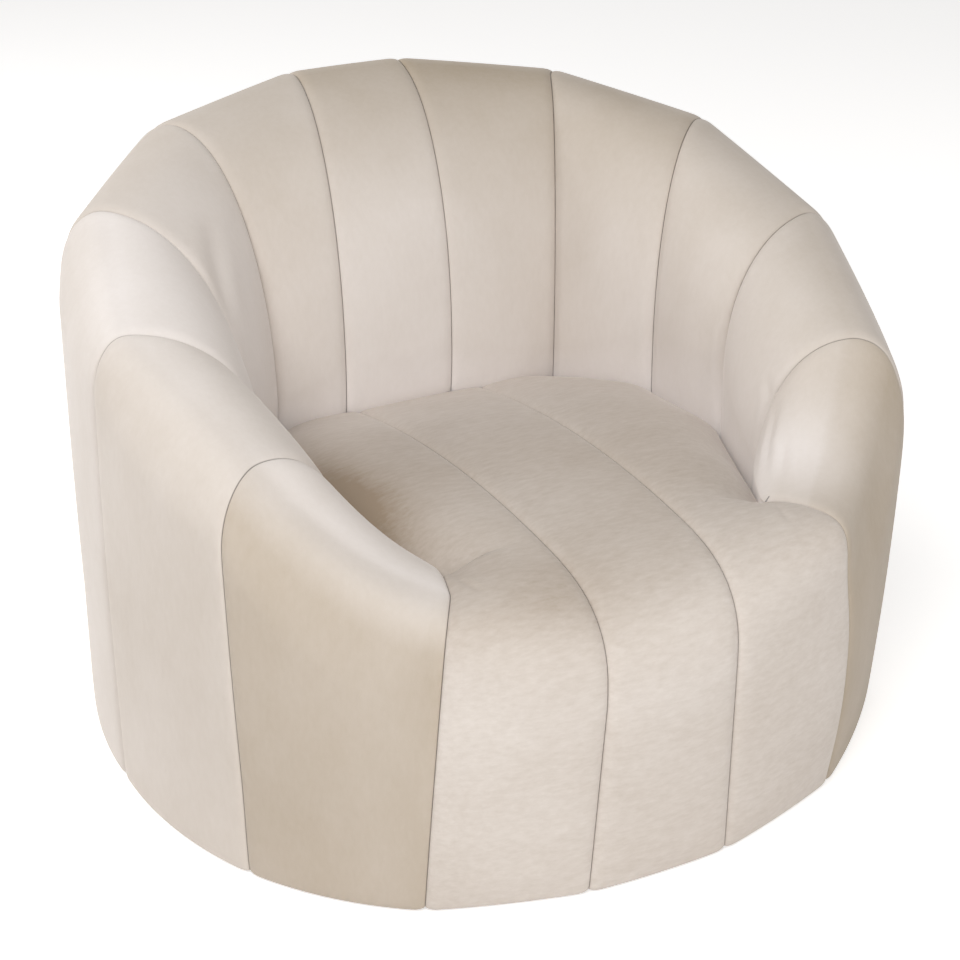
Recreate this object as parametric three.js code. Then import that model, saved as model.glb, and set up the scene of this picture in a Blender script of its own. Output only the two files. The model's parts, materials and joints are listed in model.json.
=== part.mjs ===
// Cuddle chair: a round channelled tub seat on a plywood frame, upholstered down to the floor.
// Millimetres, +Z up, the sitter looks along -Y, and the origin is under the middle of the chair.

import * as THREE from 'three';

// Driving sizes of the whole chair
const shellRadius = 528;
const backHeight = 704;
const seatHeight = 388;
const frontReach = 505;

// Gap kept between pieces that touch
const fitGap = 0.3;

// Shell seams, from the front corner of the arm (first) round to the middle of the back (last).
// The angles are measured from the front of the chair, at the hem and at the crown of the rim.
const seamAngles = [31.6, 55.2, 83.1, 114.4, 141.9, 169.7];
const crownAngles = [28.4, 55.7, 85.9, 114.4, 141.9, 169.7];
const baseRadiusShares = [0.989, 0.986, 0.972, 0.966, 0.947, 0.924];
const wallRadiusShares = [1.005, 1, 0.938, 0.955, 0.942, 0.92];
const crownRadiusShares = [0.892, 0.872, 0.856, 0.852, 0.824, 0.805];
const rimHeightShares = [0.558, 0.725, 0.823, 0.916, 0.972, 1];

// Rolled rim: how far the wall swells, the shoulder drops outside and the roll drops inside
const wallSwell = 3;
const shoulderDrop = 90;
const shoulderDropShares = [1.3, 0.91, 0.78, 0.83, 0.67, 0.71];
const shoulderRoundness = [4, 2, 2, 2, 2, 2];
const rollDrop = 200;
const rollDropShares = [0.07, 0.83, 0.81, 1.21, 1.71, 1.61];
const rollRoundness = 2.2;
const padBulgeShare = 1.03;

// Where each seam meets the seat: angle, radius and height
const footAngles = [30.5, 51.4, 76.6, 103.1, 133.2, 157.9];
const footRadiusShares = [0.767, 0.668, 0.616, 0.568, 0.534, 0.387];
const footHeightShares = [0.969, 0.812, 0.815, 0.802, 0.758, 0.777];
const centreSeamDrift = -30;
const armSweepPower = 2;

// Cover and padding
const panelThickness = 12;
const padThickness = 60;
const padThicknessShares = [0.35, 0.9, 1, 1, 1.3, 1.5];
const shellPuff = 6;
const puffPower = 0.7;
const tuckDepth = 60;
const hemHeight = 2;
const hemRadius = 8;

// Seat cushion
const seatSeamHemX = 0.17 * shellRadius;
const seatSeamX = 0.153 * shellRadius;
const seatSeamBackX = 0.171 * shellRadius;
const seatBackY = 0.352 * shellRadius;
const seatPeakInset = 159;
const seatPeakY = seatPeakInset - frontReach;
const seatFall = 83;
const noseDrop = 123;
const noseRoundness = 3;
const apronBaseInset = 10;
const apronThickness = 30;
const edgeTuck = 12;
const seatPuff = 7;
const apronPuff = 14;
const edgeRollPower = 3;
const deckFrontHeight = 286;
const deckSlope = -0.13;

// Frame boards and rails
const boardThickness = 18;
const boardHeight = 12;
const boardInset = 103;
const boardInnerRadius = 0.475 * shellRadius;
const ribThickness = 18;
const ribClearance = 2;
const ribFootInset = 2;
const ribFootRadius = shellRadius - boardInset - ribFootInset;
const ribFootWidth = 53;
const ribFootHeight = 50;
const ribInset = 14;
const ribSeams = [0, 1, 3, 5];
const rimRailDepth = 36;
const rimRailHeight = 22;
const rimRailDrop = 30;
const rimRailSteps = 3;
const rimRailCornerInset = 16;
const seatRailHeight = 60;
const seatRailThickness = 24;
const seatFrameHalfWidth = 0.354 * shellRadius;
const seatFrameInset = 125;
const seatFrameFront = seatFrameInset - frontReach;
const seatFrameBackInset = 4;
const seatFrameBack = seatBackY - seatFrameBackInset;

// Springs, felt, dust cover and glides
const springCount = 4;
const springPitch = 0.174 * shellRadius;
const springWireRadius = 2;
const springLoopLength = 70;
const springLoopWidth = 36;
const springSides = 6;
const springLoopSteps = 8;
const feltThickness = 3;
const dustCoverThickness = 1;
const dustCoverInset = 158;
const glideCount = 4;
const glideRadius = 14;
const glideInset = 128;
const glideRingRadius = shellRadius - glideInset;
const glideEdge = 2;
const roundSides = 32;

// How finely the curves are cut
const hemSteps = 2;
const wallSteps = 3;
const shoulderSteps = 4;
const rollSteps = 7;
const innerWallSteps = 3;
const acrossSteps = 6;
const noseSteps = 6;
const seatSteps = 10;
const seatAcrossSteps = 4;

const rad = THREE.MathUtils.degToRad;
const lerp = THREE.MathUtils.lerp;

// Materials
const velvet = new THREE.MeshStandardMaterial({ color: '#cfc4b8', roughness: 0.85, metalness: 0 });
const seatVelvet = new THREE.MeshStandardMaterial({ color: '#b9ad9f', roughness: 0.85, metalness: 0 });
const plywood = new THREE.MeshStandardMaterial({ color: '#c7a679', roughness: 0.7, metalness: 0 });
const springSteel = new THREE.MeshStandardMaterial({ color: '#8b8e92', roughness: 0.4, metalness: 0.9 });
const felt = new THREE.MeshStandardMaterial({ color: '#77736d', roughness: 0.95, metalness: 0 });
const dustCloth = new THREE.MeshStandardMaterial({ color: '#26262a', roughness: 0.95, metalness: 0 });
const glidePlastic = new THREE.MeshStandardMaterial({ color: '#3b3937', roughness: 0.5, metalness: 0 });

const chair = new THREE.Group();

function addPiece(name, geometry, material) {
  const piece = new THREE.Mesh(geometry, material);
  piece.name = name;
  chair.add(piece);
  return piece;
}

function planPoint(radius, angle, side = 1) {
  return new THREE.Vector2(side * radius * Math.sin(rad(angle)), -radius * Math.cos(rad(angle)));
}

// Makes one closed mesh from points and triangles, with its faces pointing out
function closedGeometry(points, triangles) {
  let volume = 0;
  for (let i = 0; i < triangles.length; i += 3) {
    const [a, b, c] = [0, 1, 2].map((corner) => points[triangles[i + corner]]);
    volume += a.dot(b.clone().cross(c));
  }
  const order = volume < 0 ? triangles.slice().reverse() : triangles;
  const geometry = new THREE.BufferGeometry().setFromPoints(points);
  geometry.setIndex(order);
  geometry.computeVertexNormals();
  return geometry;
}

// Closes two grids of points, the visible face and the hidden face, into one solid
function solidBetween(visible, hidden) {
  const rows = visible.length;
  const columns = visible[0].length;
  const points = [...visible.flat(), ...hidden.flat()];
  const at = (layer, row, column) => (layer * rows + row) * columns + column;
  const triangles = [];
  const quad = (a, b, c, d) => triangles.push(a, b, c, a, c, d);
  const lastRow = rows - 1;
  const lastColumn = columns - 1;
  for (let i = 0; i < lastRow; i++) {
    for (let j = 0; j < lastColumn; j++) {
      quad(at(0, i, j), at(0, i + 1, j), at(0, i + 1, j + 1), at(0, i, j + 1));
      quad(at(1, i, j), at(1, i, j + 1), at(1, i + 1, j + 1), at(1, i + 1, j));
    }
    quad(at(0, i, 0), at(1, i, 0), at(1, i + 1, 0), at(0, i + 1, 0));
    quad(at(0, i, lastColumn), at(0, i + 1, lastColumn), at(1, i + 1, lastColumn), at(1, i, lastColumn));
  }
  for (let j = 0; j < lastColumn; j++) {
    quad(at(0, 0, j), at(0, 0, j + 1), at(1, 0, j + 1), at(1, 0, j));
    quad(at(0, lastRow, j), at(1, lastRow, j), at(1, lastRow, j + 1), at(0, lastRow, j + 1));
  }
  return closedGeometry(points, triangles);
}

// A bar through a row of four-cornered sections
function barThrough(sections) {
  const left = sections.map((section) => [section[0], section[1]]);
  const right = sections.map((section) => [section[3], section[2]]);
  return solidBetween(left, right);
}

// One seam of the shell with all its own sizes; side is 1 on the right and -1 on the left
function shellSeam(index, side) {
  const crown = planPoint(crownRadiusShares[index] * shellRadius, crownAngles[index], side);
  const foot = planPoint(footRadiusShares[index] * shellRadius, footAngles[index], side);
  if (index === seamAngles.length - 1) {
    foot.x += centreSeamDrift;
  }
  return {
    index,
    side,
    angle: seamAngles[index],
    crownAngle: crownAngles[index],
    base: baseRadiusShares[index] * shellRadius,
    wall: wallRadiusShares[index] * shellRadius,
    crownRadius: crownRadiusShares[index] * shellRadius,
    crown,
    foot,
    height: rimHeightShares[index] * backHeight,
    footHeight: footHeightShares[index] * seatHeight,
    shoulder: shoulderDropShares[index] * shoulderDrop,
    shoulderPower: 2 / shoulderRoundness[index],
    roll: rollDropShares[index] * rollDrop,
    padding: padThicknessShares[index] * padThickness,
  };
}

// Outside of a seam as radius and height, from the hem up to the crown of the rim
function outsideLine(seam) {
  const line = [];
  for (let i = 0; i <= hemSteps; i++) {
    const turn = (Math.PI / 2) * (i / hemSteps);
    const out = hemRadius * Math.sin(turn) - hemRadius;
    line.push([seam.base + out, hemHeight + hemRadius - hemRadius * Math.cos(turn)]);
  }
  const wallFoot = hemHeight + hemRadius;
  const wallTop = seam.height - seam.shoulder;
  for (let i = 1; i <= wallSteps; i++) {
    const t = i / wallSteps;
    const swell = wallSwell * Math.sin(Math.PI * t);
    line.push([lerp(seam.base, seam.wall, t) + swell, lerp(wallFoot, wallTop, t)]);
  }
  for (let i = 1; i <= shoulderSteps; i++) {
    const turn = (Math.PI / 2) * (i / shoulderSteps);
    const along = Math.max(0, Math.cos(turn)) ** seam.shoulderPower;
    const up = Math.sin(turn) ** seam.shoulderPower;
    line.push([lerp(seam.crownRadius, seam.wall, along), wallTop + seam.shoulder * up]);
  }
  return line;
}

// Inside of a seam as distance from the crown towards the foot, and height
function insideLine(seam) {
  const reach = seam.foot.distanceTo(seam.crown);
  const widest = padBulgeShare * reach;
  const line = [];
  for (let i = 0; i <= rollSteps; i++) {
    const turn = (Math.PI / 2) * (i / rollSteps);
    const along = Math.sin(turn) ** (2 / rollRoundness);
    const down = 1 - Math.max(0, Math.cos(turn)) ** (2 / rollRoundness);
    line.push([widest * along, seam.height - seam.roll * down]);
  }
  const rollFoot = seam.height - seam.roll;
  for (let i = 1; i <= innerWallSteps; i++) {
    const t = i / innerWallSteps;
    line.push([lerp(widest, reach, t * t), lerp(rollFoot, seam.footHeight, t)]);
  }
  line.push([reach, seam.footHeight - tuckDepth]);
  return line;
}

// Moves a line sideways by the thickness at each point; turn is 1 or -1 for the side that it goes to
function offsetLine(line, thicknessAt, turn) {
  return line.map(([a, z], i) => {
    const before = line[Math.max(i - 1, 0)];
    const after = line[Math.min(i + 1, line.length - 1)];
    const length = Math.hypot(after[0] - before[0], after[1] - before[1]);
    const thickness = thicknessAt(i / (line.length - 1));
    const da = (after[0] - before[0]) / length;
    const dz = (after[1] - before[1]) / length;
    return [a - turn * dz * thickness, z + turn * da * thickness];
  });
}

// The hidden face of the outer panel; behind the rounded hem it stays upright, so the two faces never cross
function hiddenOutsideLine(seam, outside) {
  const hidden = offsetLine(outside, () => panelThickness, 1);
  const low = hemHeight + hemRadius / 2;
  for (let i = 0; i <= hemSteps; i++) {
    hidden[i] = [seam.base - panelThickness, lerp(low, hemHeight + hemRadius, i / hemSteps)];
  }
  return hidden;
}

// The outside of a seam turns a little from its angle at the hem to its angle at the crown
function outsidePoints(seam, line) {
  return line.map(([radius, z]) => {
    const plan = planPoint(radius, lerp(seam.angle, seam.crownAngle, z / seam.height), seam.side);
    return new THREE.Vector3(plan.x, plan.y, z);
  });
}

function insidePoints(seam, line) {
  const towardsFoot = seam.foot.clone().sub(seam.crown).normalize();
  return line.map(([along, z]) => {
    const plan = seam.crown.clone().addScaledVector(towardsFoot, along);
    return new THREE.Vector3(plan.x, plan.y, z);
  });
}

// The four lines of a seam: outside and inside, each with its visible and hidden face
function seamLines(seam) {
  const outside = outsideLine(seam);
  const inside = insideLine(seam);
  const padAt = (t) => lerp(panelThickness, seam.padding, Math.min(1, 2 * t));
  return {
    seam,
    outside: outsidePoints(seam, outside),
    outsideHidden: outsidePoints(seam, hiddenOutsideLine(seam, outside)),
    inside: insidePoints(seam, inside),
    insideHidden: insidePoints(seam, offsetLine(inside, padAt, -1)),
  };
}

// Moves the end of a channel off its seam by half the fit gap, towards the other end
function pullBack(points, towards) {
  const shift = towards.clone().setZ(0).normalize().multiplyScalar(fitGap / 2);
  return points.map((point) => point.clone().add(shift));
}

// A point between two others on a curve round the chair's middle, or on the straight line between them
function pointBetween(from, to, t, straight) {
  const start = Math.atan2(from.x, -from.y);
  const turn = Math.atan2(to.x, -to.y) - start;
  const shortTurn = turn - 2 * Math.PI * Math.round(turn / (2 * Math.PI));
  const angle = start + shortTurn * t;
  const radius = lerp(Math.hypot(from.x, from.y), Math.hypot(to.x, to.y), t);
  const onCurve = new THREE.Vector3(radius * Math.sin(angle), -radius * Math.cos(angle), lerp(from.z, to.z, t));
  return onCurve.lerp(from.clone().lerp(to, t), straight);
}

// Rows between two seam lines; sweep bends the fall of the arm's front end
function rowsBetween(first, last, sweepPower, straightAt) {
  const span = last[0].clone().sub(first[0]);
  const from = pullBack(first, span);
  const to = pullBack(last, span.clone().negate());
  return from.map((point, row) => {
    const cells = [];
    for (let j = 0; j <= acrossSteps; j++) {
      const t = j / acrossSteps;
      const cell = pointBetween(point, to[row], t, straightAt(row));
      cell.z = lerp(point.z, to[row].z, 1 - (1 - t) ** sweepPower);
      cells.push(cell);
    }
    return cells;
  });
}

// Swells a grid between its two long edges; fade lowers the swelling row by row
function puffRows(grid, amount, outward, fade) {
  const rows = grid.length;
  const columns = grid[0].length;
  return grid.map((cells, i) => cells.map((cell, j) => {
    const up = grid[Math.min(i + 1, rows - 1)][j].clone().sub(grid[Math.max(i - 1, 0)][j]);
    const across = cells[Math.min(j + 1, columns - 1)].clone().sub(cells[Math.max(j - 1, 0)]);
    const normal = up.cross(across).normalize().multiplyScalar(outward);
    const swell = amount * fade(i) * Math.sin((Math.PI * j) / (columns - 1)) ** puffPower;
    return cell.clone().addScaledVector(normal, swell);
  }));
}

// One channel of the shell: the outer panel with its wadding and the inner pad with its foam
function addShellChannel(label, first, last, sweepPower, turn) {
  const full = (lines) => [...lines.outside, ...lines.inside.slice(1)];
  const outsideCount = first.outside.length;
  const straightAt = (row) => Math.min(1, Math.max(0, (row - hemSteps) / (outsideCount - 1 - hemSteps)));
  const rows = rowsBetween(full(first), full(last), sweepPower, straightAt);
  const rollEnd = outsideCount - 1 + rollSteps;
  const innerFade = (row) => Math.max(0, 1 - (row - rollEnd) / innerWallSteps);
  const fade = (row) => Math.min(1, row / hemSteps, innerFade(row));
  const swollen = puffRows(rows, shellPuff, turn, fade);
  const outer = swollen.slice(0, outsideCount);
  const inner = swollen.slice(outsideCount - 1);
  const crownRow = inner[0];
  inner[0] = crownRow.map((cell, j) => cell.clone().lerp(inner[1][j], fitGap / cell.distanceTo(inner[1][j])));
  const outerHidden = rowsBetween(first.outsideHidden, last.outsideHidden, sweepPower, straightAt);
  const innerHidden = rowsBetween(first.insideHidden, last.insideHidden, sweepPower, () => 1);
  const below = (cell) => cell.clone().setZ(cell.z - panelThickness);
  outerHidden[outsideCount - 1] = outer[outsideCount - 1].map(below);
  innerHidden[0] = inner[0].map(below);
  addPiece(`outer_panel_${label}`, solidBetween(outer, outerHidden), velvet);
  addPiece(`inner_pad_${label}`, solidBetween(inner, innerHidden), velvet);
}

const rightSeams = seamAngles.map((_, index) => seamLines(shellSeam(index, 1)));
const leftSeams = seamAngles.map((_, index) => seamLines(shellSeam(index, -1)));
const lastSeam = seamAngles.length - 1;

for (let k = 1; k <= lastSeam; k++) {
  const sweepPower = k === 1 ? armSweepPower : 1;
  addShellChannel(`right_${k}`, rightSeams[k], rightSeams[k - 1], sweepPower, 1);
  addShellChannel(`left_${k}`, leftSeams[k], leftSeams[k - 1], sweepPower, -1);
}
addShellChannel('back', leftSeams[lastSeam], rightSeams[lastSeam], 1, 1);

// Seat: height of the deck that carries the foam, and of the crown line that the seams follow
function deckHeight(y) {
  return deckFrontHeight + deckSlope * (y + frontReach);
}

function crownHeight(y) {
  const back = Math.max(0, (y - seatPeakY) / (seatBackY - seatPeakY));
  return seatHeight - seatFall * back ** 2;
}

// Distance of a seat seam from the middle: it spreads a little towards the hem and towards the back
function seatSeamXAt(y, z) {
  const onTop = lerp(seatSeamX, seatSeamBackX, (y + frontReach) / (seatBackY + frontReach));
  return onTop + (seatSeamHemX - seatSeamX) * Math.max(0, 1 - z / (seatHeight - noseDrop));
}

// A seat seam from the hem up the apron, round the nose and back along the top
function seatSeamLine(side) {
  const place = (y, z) => new THREE.Vector3(side * seatSeamXAt(y, z), y, z);
  const baseY = -frontReach + apronBaseInset;
  const line = [];
  for (let i = 0; i <= hemSteps; i++) {
    const turn = (Math.PI / 2) * (i / hemSteps);
    const y = baseY + hemRadius - hemRadius * Math.sin(turn);
    line.push(place(y, hemHeight + hemRadius - hemRadius * Math.cos(turn)));
  }
  const noseFoot = seatHeight - noseDrop;
  for (let i = 1; i <= wallSteps; i++) {
    const t = i / wallSteps;
    line.push(place(lerp(baseY, -frontReach, t), lerp(hemHeight + hemRadius, noseFoot, t)));
  }
  for (let i = 1; i <= noseSteps; i++) {
    const turn = (Math.PI / 2) * (i / noseSteps);
    const forward = Math.max(0, Math.cos(turn)) ** (2 / noseRoundness);
    const y = lerp(seatPeakY, -frontReach, forward);
    line.push(place(y, noseFoot + noseDrop * Math.sin(turn) ** (2 / noseRoundness)));
  }
  for (let i = 1; i <= seatSteps; i++) {
    const y = lerp(seatPeakY, seatBackY, i / seatSteps);
    line.push(place(y, crownHeight(y)));
  }
  return line;
}

// The seat's outer edge: up the front corner, in along the ear, and back along the crevice
function seatEdgeLine(side) {
  const corner = shellSeam(0, side);
  const inset = (point) => {
    const gap = fitGap / point.length();
    return point.clone().multiplyScalar(1 - gap - gap);
  };
  const front = outsideLine(corner);
  const line = outsidePoints(corner, front.slice(0, hemSteps + wallSteps + 1));
  const ear = outsidePoints(corner, front.slice(hemSteps + wallSteps + 1));
  const pinch = corner.foot;
  const pinchPoint = new THREE.Vector3(pinch.x, pinch.y, corner.footHeight);
  const crownPoint = ear[ear.length - 1];
  const earInward = noseSteps - ear.length;
  line.push(...ear);
  for (let i = 1; i <= earInward; i++) {
    line.push(crownPoint.clone().lerp(pinchPoint, i / earInward));
  }
  const feet = [];
  for (let k = 0; k < lastSeam; k++) {
    const seam = shellSeam(k, side);
    const plan = inset(seam.foot);
    feet.push(new THREE.Vector3(plan.x, plan.y, seam.footHeight));
  }
  for (let i = 1; i <= seatSteps; i++) {
    const along = (i / seatSteps) * (feet.length - 1);
    const k = Math.min(Math.floor(along), feet.length - 2);
    line.push(feet[k].clone().lerp(feet[k + 1], along - k));
  }
  return line;
}

// The hidden face under a line of the seat: behind the apron, then along the deck
function underLine(line) {
  const apronRows = hemSteps + wallSteps;
  const noseRows = noseSteps;
  return line.map((point, i) => {
    const inner = point.clone();
    if (i <= apronRows + noseRows / 2) {
      const t = Math.max(0, i - apronRows) / (noseRows / 2);
      const back = line[Math.min(i, apronRows)];
      const plan = new THREE.Vector2(back.x, back.y);
      plan.multiplyScalar(1 - apronThickness / plan.length());
      const top = deckHeight(plan.y);
      const low = Math.max(Math.min(point.z, top - apronThickness), hemHeight + apronThickness / 2);
      return new THREE.Vector3(plan.x, plan.y, i < apronRows ? low : lerp(low, top, t));
    }
    const corner = line[apronRows];
    const start = new THREE.Vector2(corner.x, corner.y);
    start.multiplyScalar(1 - apronThickness / start.length());
    if (i < apronRows + noseRows) {
      const t = (i - apronRows - noseRows / 2) / (noseRows / 2);
      const end = line[apronRows + noseRows];
      inner.set(lerp(start.x, end.x, t), lerp(start.y, end.y, t), 0);
    }
    inner.z = deckHeight(inner.y);
    return inner;
  });
}

// Rows between two lines of the seat; near the crevice the top rolls down with a rounded edge
function seatRows(first, last, rolled) {
  const span = new THREE.Vector3(Math.sign(last[0].x - first[0].x), 0, 0);
  const from = pullBack(first, span);
  const topStart = hemSteps + wallSteps + noseSteps;
  return from.map((point, row) => {
    const cells = [];
    for (let j = 0; j <= seatAcrossSteps; j++) {
      const t = j / seatAcrossSteps;
      const cell = point.clone().lerp(last[row], t);
      const past = Math.min(1, Math.max(0, (row - topStart) / 2));
      const power = rolled ? lerp(1, edgeRollPower, past) : 1;
      cell.z = lerp(point.z, last[row].z, t ** power);
      cells.push(cell);
    }
    return cells;
  });
}

// The apron swells more than the top, and the crevice doesn't swell
function seatFade(row) {
  const apronRows = hemSteps + wallSteps;
  const lastRow = apronRows + noseSteps + seatSteps;
  if (row < hemSteps) {
    return 0;
  }
  const past = Math.min(1, Math.max(0, (row - apronRows) / noseSteps));
  return Math.min(lerp(apronPuff / seatPuff, 1, past), (lastRow - row) / 2);
}

function addSeatSide(name, side) {
  const seamLine = seatSeamLine(side);
  const edgeLine = seatEdgeLine(side);
  const earRows = hemSteps + wallSteps + noseSteps + 1;
  const towardsSeat = new THREE.Vector3(-side, -Math.tan(rad(crownAngles[0])), 0);
  const ear = pullBack(pullBack(edgeLine.slice(0, earRows), towardsSeat), towardsSeat);
  const edge = [...ear, ...edgeLine.slice(earRows)];
  const rows = seatRows(seamLine, edge, true);
  const underEdge = underLine(edge).map((point) => point.clone().setX(point.x - side * edgeTuck));
  const under = seatRows(underLine(seamLine), underEdge, false);
  addPiece(name, solidBetween(puffRows(rows, seatPuff, -side, seatFade), under), seatVelvet);
}

function addSeatCentre() {
  const left = seatSeamLine(-1);
  const right = seatSeamLine(1);
  const shift = new THREE.Vector3(-1, 0, 0);
  const rows = seatRows(left, pullBack(right, shift), false);
  const under = seatRows(underLine(left), pullBack(underLine(right), shift), false);
  addPiece('seat_channel_centre', solidBetween(puffRows(rows, seatPuff, -1, seatFade), under), seatVelvet);
}

addSeatCentre();
addSeatSide('seat_channel_right', 1);
addSeatSide('seat_channel_left', -1);

// Base boards: a plywood ring in four quarters
const quarters = ['front', 'right', 'rear', 'left'];
const boardSteps = roundSides / quarters.length;
const quarterTurn = 360 / quarters.length;

// Plan of the covered base: round, and drawn in behind the apron
function footprintRadius(angle) {
  const fromFront = Math.abs(angle - 360 * Math.round(angle / 360));
  return lerp(frontReach, shellRadius, Math.min(1, fromFront / seamAngles[0]));
}

function boardSection(angle) {
  const inner = planPoint(boardInnerRadius, angle);
  const outer = planPoint(footprintRadius(angle) - boardInset, angle);
  const top = boardHeight + boardThickness;
  return [
    new THREE.Vector3(inner.x, inner.y, boardHeight),
    new THREE.Vector3(inner.x, inner.y, top),
    new THREE.Vector3(outer.x, outer.y, top),
    new THREE.Vector3(outer.x, outer.y, boardHeight),
  ];
}

quarters.forEach((name, index) => {
  const gapTurn = THREE.MathUtils.radToDeg(fitGap / boardInnerRadius / 2);
  const start = (index - 1 / 2) * quarterTurn + gapTurn;
  const end = (index + 1 / 2) * quarterTurn - gapTurn;
  const sections = [];
  for (let i = 0; i <= boardSteps; i++) {
    sections.push(boardSection(lerp(start, end, i / boardSteps)));
  }
  addPiece(`base_board_${name}`, barThrough(sections), plywood);
});

// Rim rails: boards on edge under the crown, straight from seam to seam
function railSection(first, last, t, sweepPower) {
  const plan = first.crown.clone().lerp(last.crown, t);
  const out = plan.clone().normalize();
  const inner = plan.clone().addScaledVector(out, -(rimRailDepth + ribInset) / 2);
  const outer = plan.clone().addScaledVector(out, (rimRailDepth - ribInset) / 2);
  const top = lerp(first.height, last.height, 1 - (1 - t) ** sweepPower) - rimRailDrop;
  const bottom = top - rimRailHeight;
  return [
    new THREE.Vector3(inner.x, inner.y, bottom),
    new THREE.Vector3(inner.x, inner.y, top),
    new THREE.Vector3(outer.x, outer.y, top),
    new THREE.Vector3(outer.x, outer.y, bottom),
  ];
}

// A rail through a row of seams, a little short of its two ends
function addRimRail(name, seams) {
  const sections = [];
  for (let k = 1; k < seams.length; k++) {
    const [first, last] = [seams[k - 1], seams[k]];
    const length = first.crown.distanceTo(last.crown);
    const endGap = last.index === 0 ? rimRailCornerInset : fitGap;
    const start = k === 1 ? fitGap / length : 0;
    const end = k === seams.length - 1 ? 1 - endGap / length : 1;
    const sweepPower = last.index === 0 ? armSweepPower : 1;
    for (let i = k === 1 ? 0 : 1; i <= rimRailSteps; i++) {
      sections.push(railSection(first, last, lerp(start, end, i / rimRailSteps), sweepPower));
    }
  }
  addPiece(name, barThrough(sections), plywood);
}

for (const [sideName, side] of [['right', 1], ['left', -1]]) {
  for (let k = 1; k < ribSeams.length; k++) {
    const seams = [];
    for (let index = ribSeams[k]; index >= ribSeams[k - 1]; index--) {
      seams.push(shellSeam(index, side));
    }
    addRimRail(`rim_rail_${sideName}_${k}`, seams);
  }
}
addRimRail('rim_rail_back', [shellSeam(lastSeam, -1), shellSeam(lastSeam, 1)]);

// Height of the crown where it passes over an angle
function crownHeightAt(angle) {
  if (angle >= crownAngles[lastSeam]) {
    return backHeight;
  }
  const k = Math.max(1, crownAngles.findIndex((crownAngle) => crownAngle > angle));
  const [first, last] = [shellSeam(k, 1), shellSeam(k - 1, 1)];
  const nearFirst = first.crownRadius * Math.sin(rad(first.crownAngle - angle));
  const nearLast = last.crownRadius * Math.sin(rad(Math.max(0, angle - last.crownAngle)));
  const t = nearFirst / (nearFirst + nearLast);
  return lerp(first.height, last.height, 1 - (1 - t) ** (k === 1 ? armSweepPower : 1));
}

// Ribs: upright boards under the rim rails, standing on the base boards
function addRib(name, index, side) {
  const seam = shellSeam(index, side);
  const halfTurn = THREE.MathUtils.radToDeg(ribThickness / 2 / ribFootRadius);
  const shift = index === 0 ? ribThickness / 2 + fitGap : 0;
  const shiftTurn = THREE.MathUtils.radToDeg(shift / seam.crownRadius);
  const edges = [seam.angle + shiftTurn - halfTurn, seam.angle + shiftTurn + halfTurn];
  const lowest = Math.min(...edges.map(crownHeightAt));
  const top = lowest - rimRailDrop - rimRailHeight - fitGap;
  const footZ = boardHeight + boardThickness + fitGap;
  const outerRadius = Math.min(seam.base, seam.wall) - panelThickness - ribClearance;
  const innerTop = seam.crownRadius - ribInset;
  const shoulderFoot = Math.min(top - rimRailHeight, seam.height - seam.shoulder);
  const outline = new THREE.Shape([
    new THREE.Vector2(ribFootRadius, footZ),
    new THREE.Vector2(outerRadius, footZ + ribFootHeight),
    new THREE.Vector2(outerRadius, shoulderFoot),
    new THREE.Vector2(seam.crownRadius + (rimRailDepth - ribInset) / 2, top),
    new THREE.Vector2(innerTop, top),
    new THREE.Vector2(ribFootRadius - ribFootWidth, footZ + ribFootHeight),
    new THREE.Vector2(ribFootRadius - ribFootWidth, footZ),
  ]);
  const plate = new THREE.ExtrudeGeometry(outline, { depth: ribThickness, bevelEnabled: false });
  plate.translate(0, 0, -side * shift - ribThickness / 2);
  const out = planPoint(1, seam.angle, side);
  const radial = new THREE.Vector3(out.x, out.y, 0);
  const up = new THREE.Vector3(0, 0, 1);
  plate.applyMatrix4(new THREE.Matrix4().makeBasis(radial, up, radial.clone().cross(up)));
  addPiece(name, plate, plywood);
}

for (const [sideName, side] of [['right', 1], ['left', -1]]) {
  for (const index of ribSeams) {
    addRib(index === 0 ? `arm_post_${sideName}` : `shell_rib_${sideName}_${index}`, index, side);
  }
}

// Seat frame: a front board and three rails that follow the slope of the deck, on two rear legs
const wireHeight = 2 * springWireRadius;
const feltDrop = fitGap;
const wireDrop = feltDrop + feltThickness + fitGap;
const railDrop = wireDrop + wireHeight + fitGap;

function deckBar(xMin, xMax, yMin, yMax, drop, height) {
  return barThrough([yMin, yMax].map((y) => {
    const top = deckHeight(y) - drop;
    return [
      new THREE.Vector3(xMin, y, top - height),
      new THREE.Vector3(xMin, y, top),
      new THREE.Vector3(xMax, y, top),
      new THREE.Vector3(xMax, y, top - height),
    ];
  }));
}

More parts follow.
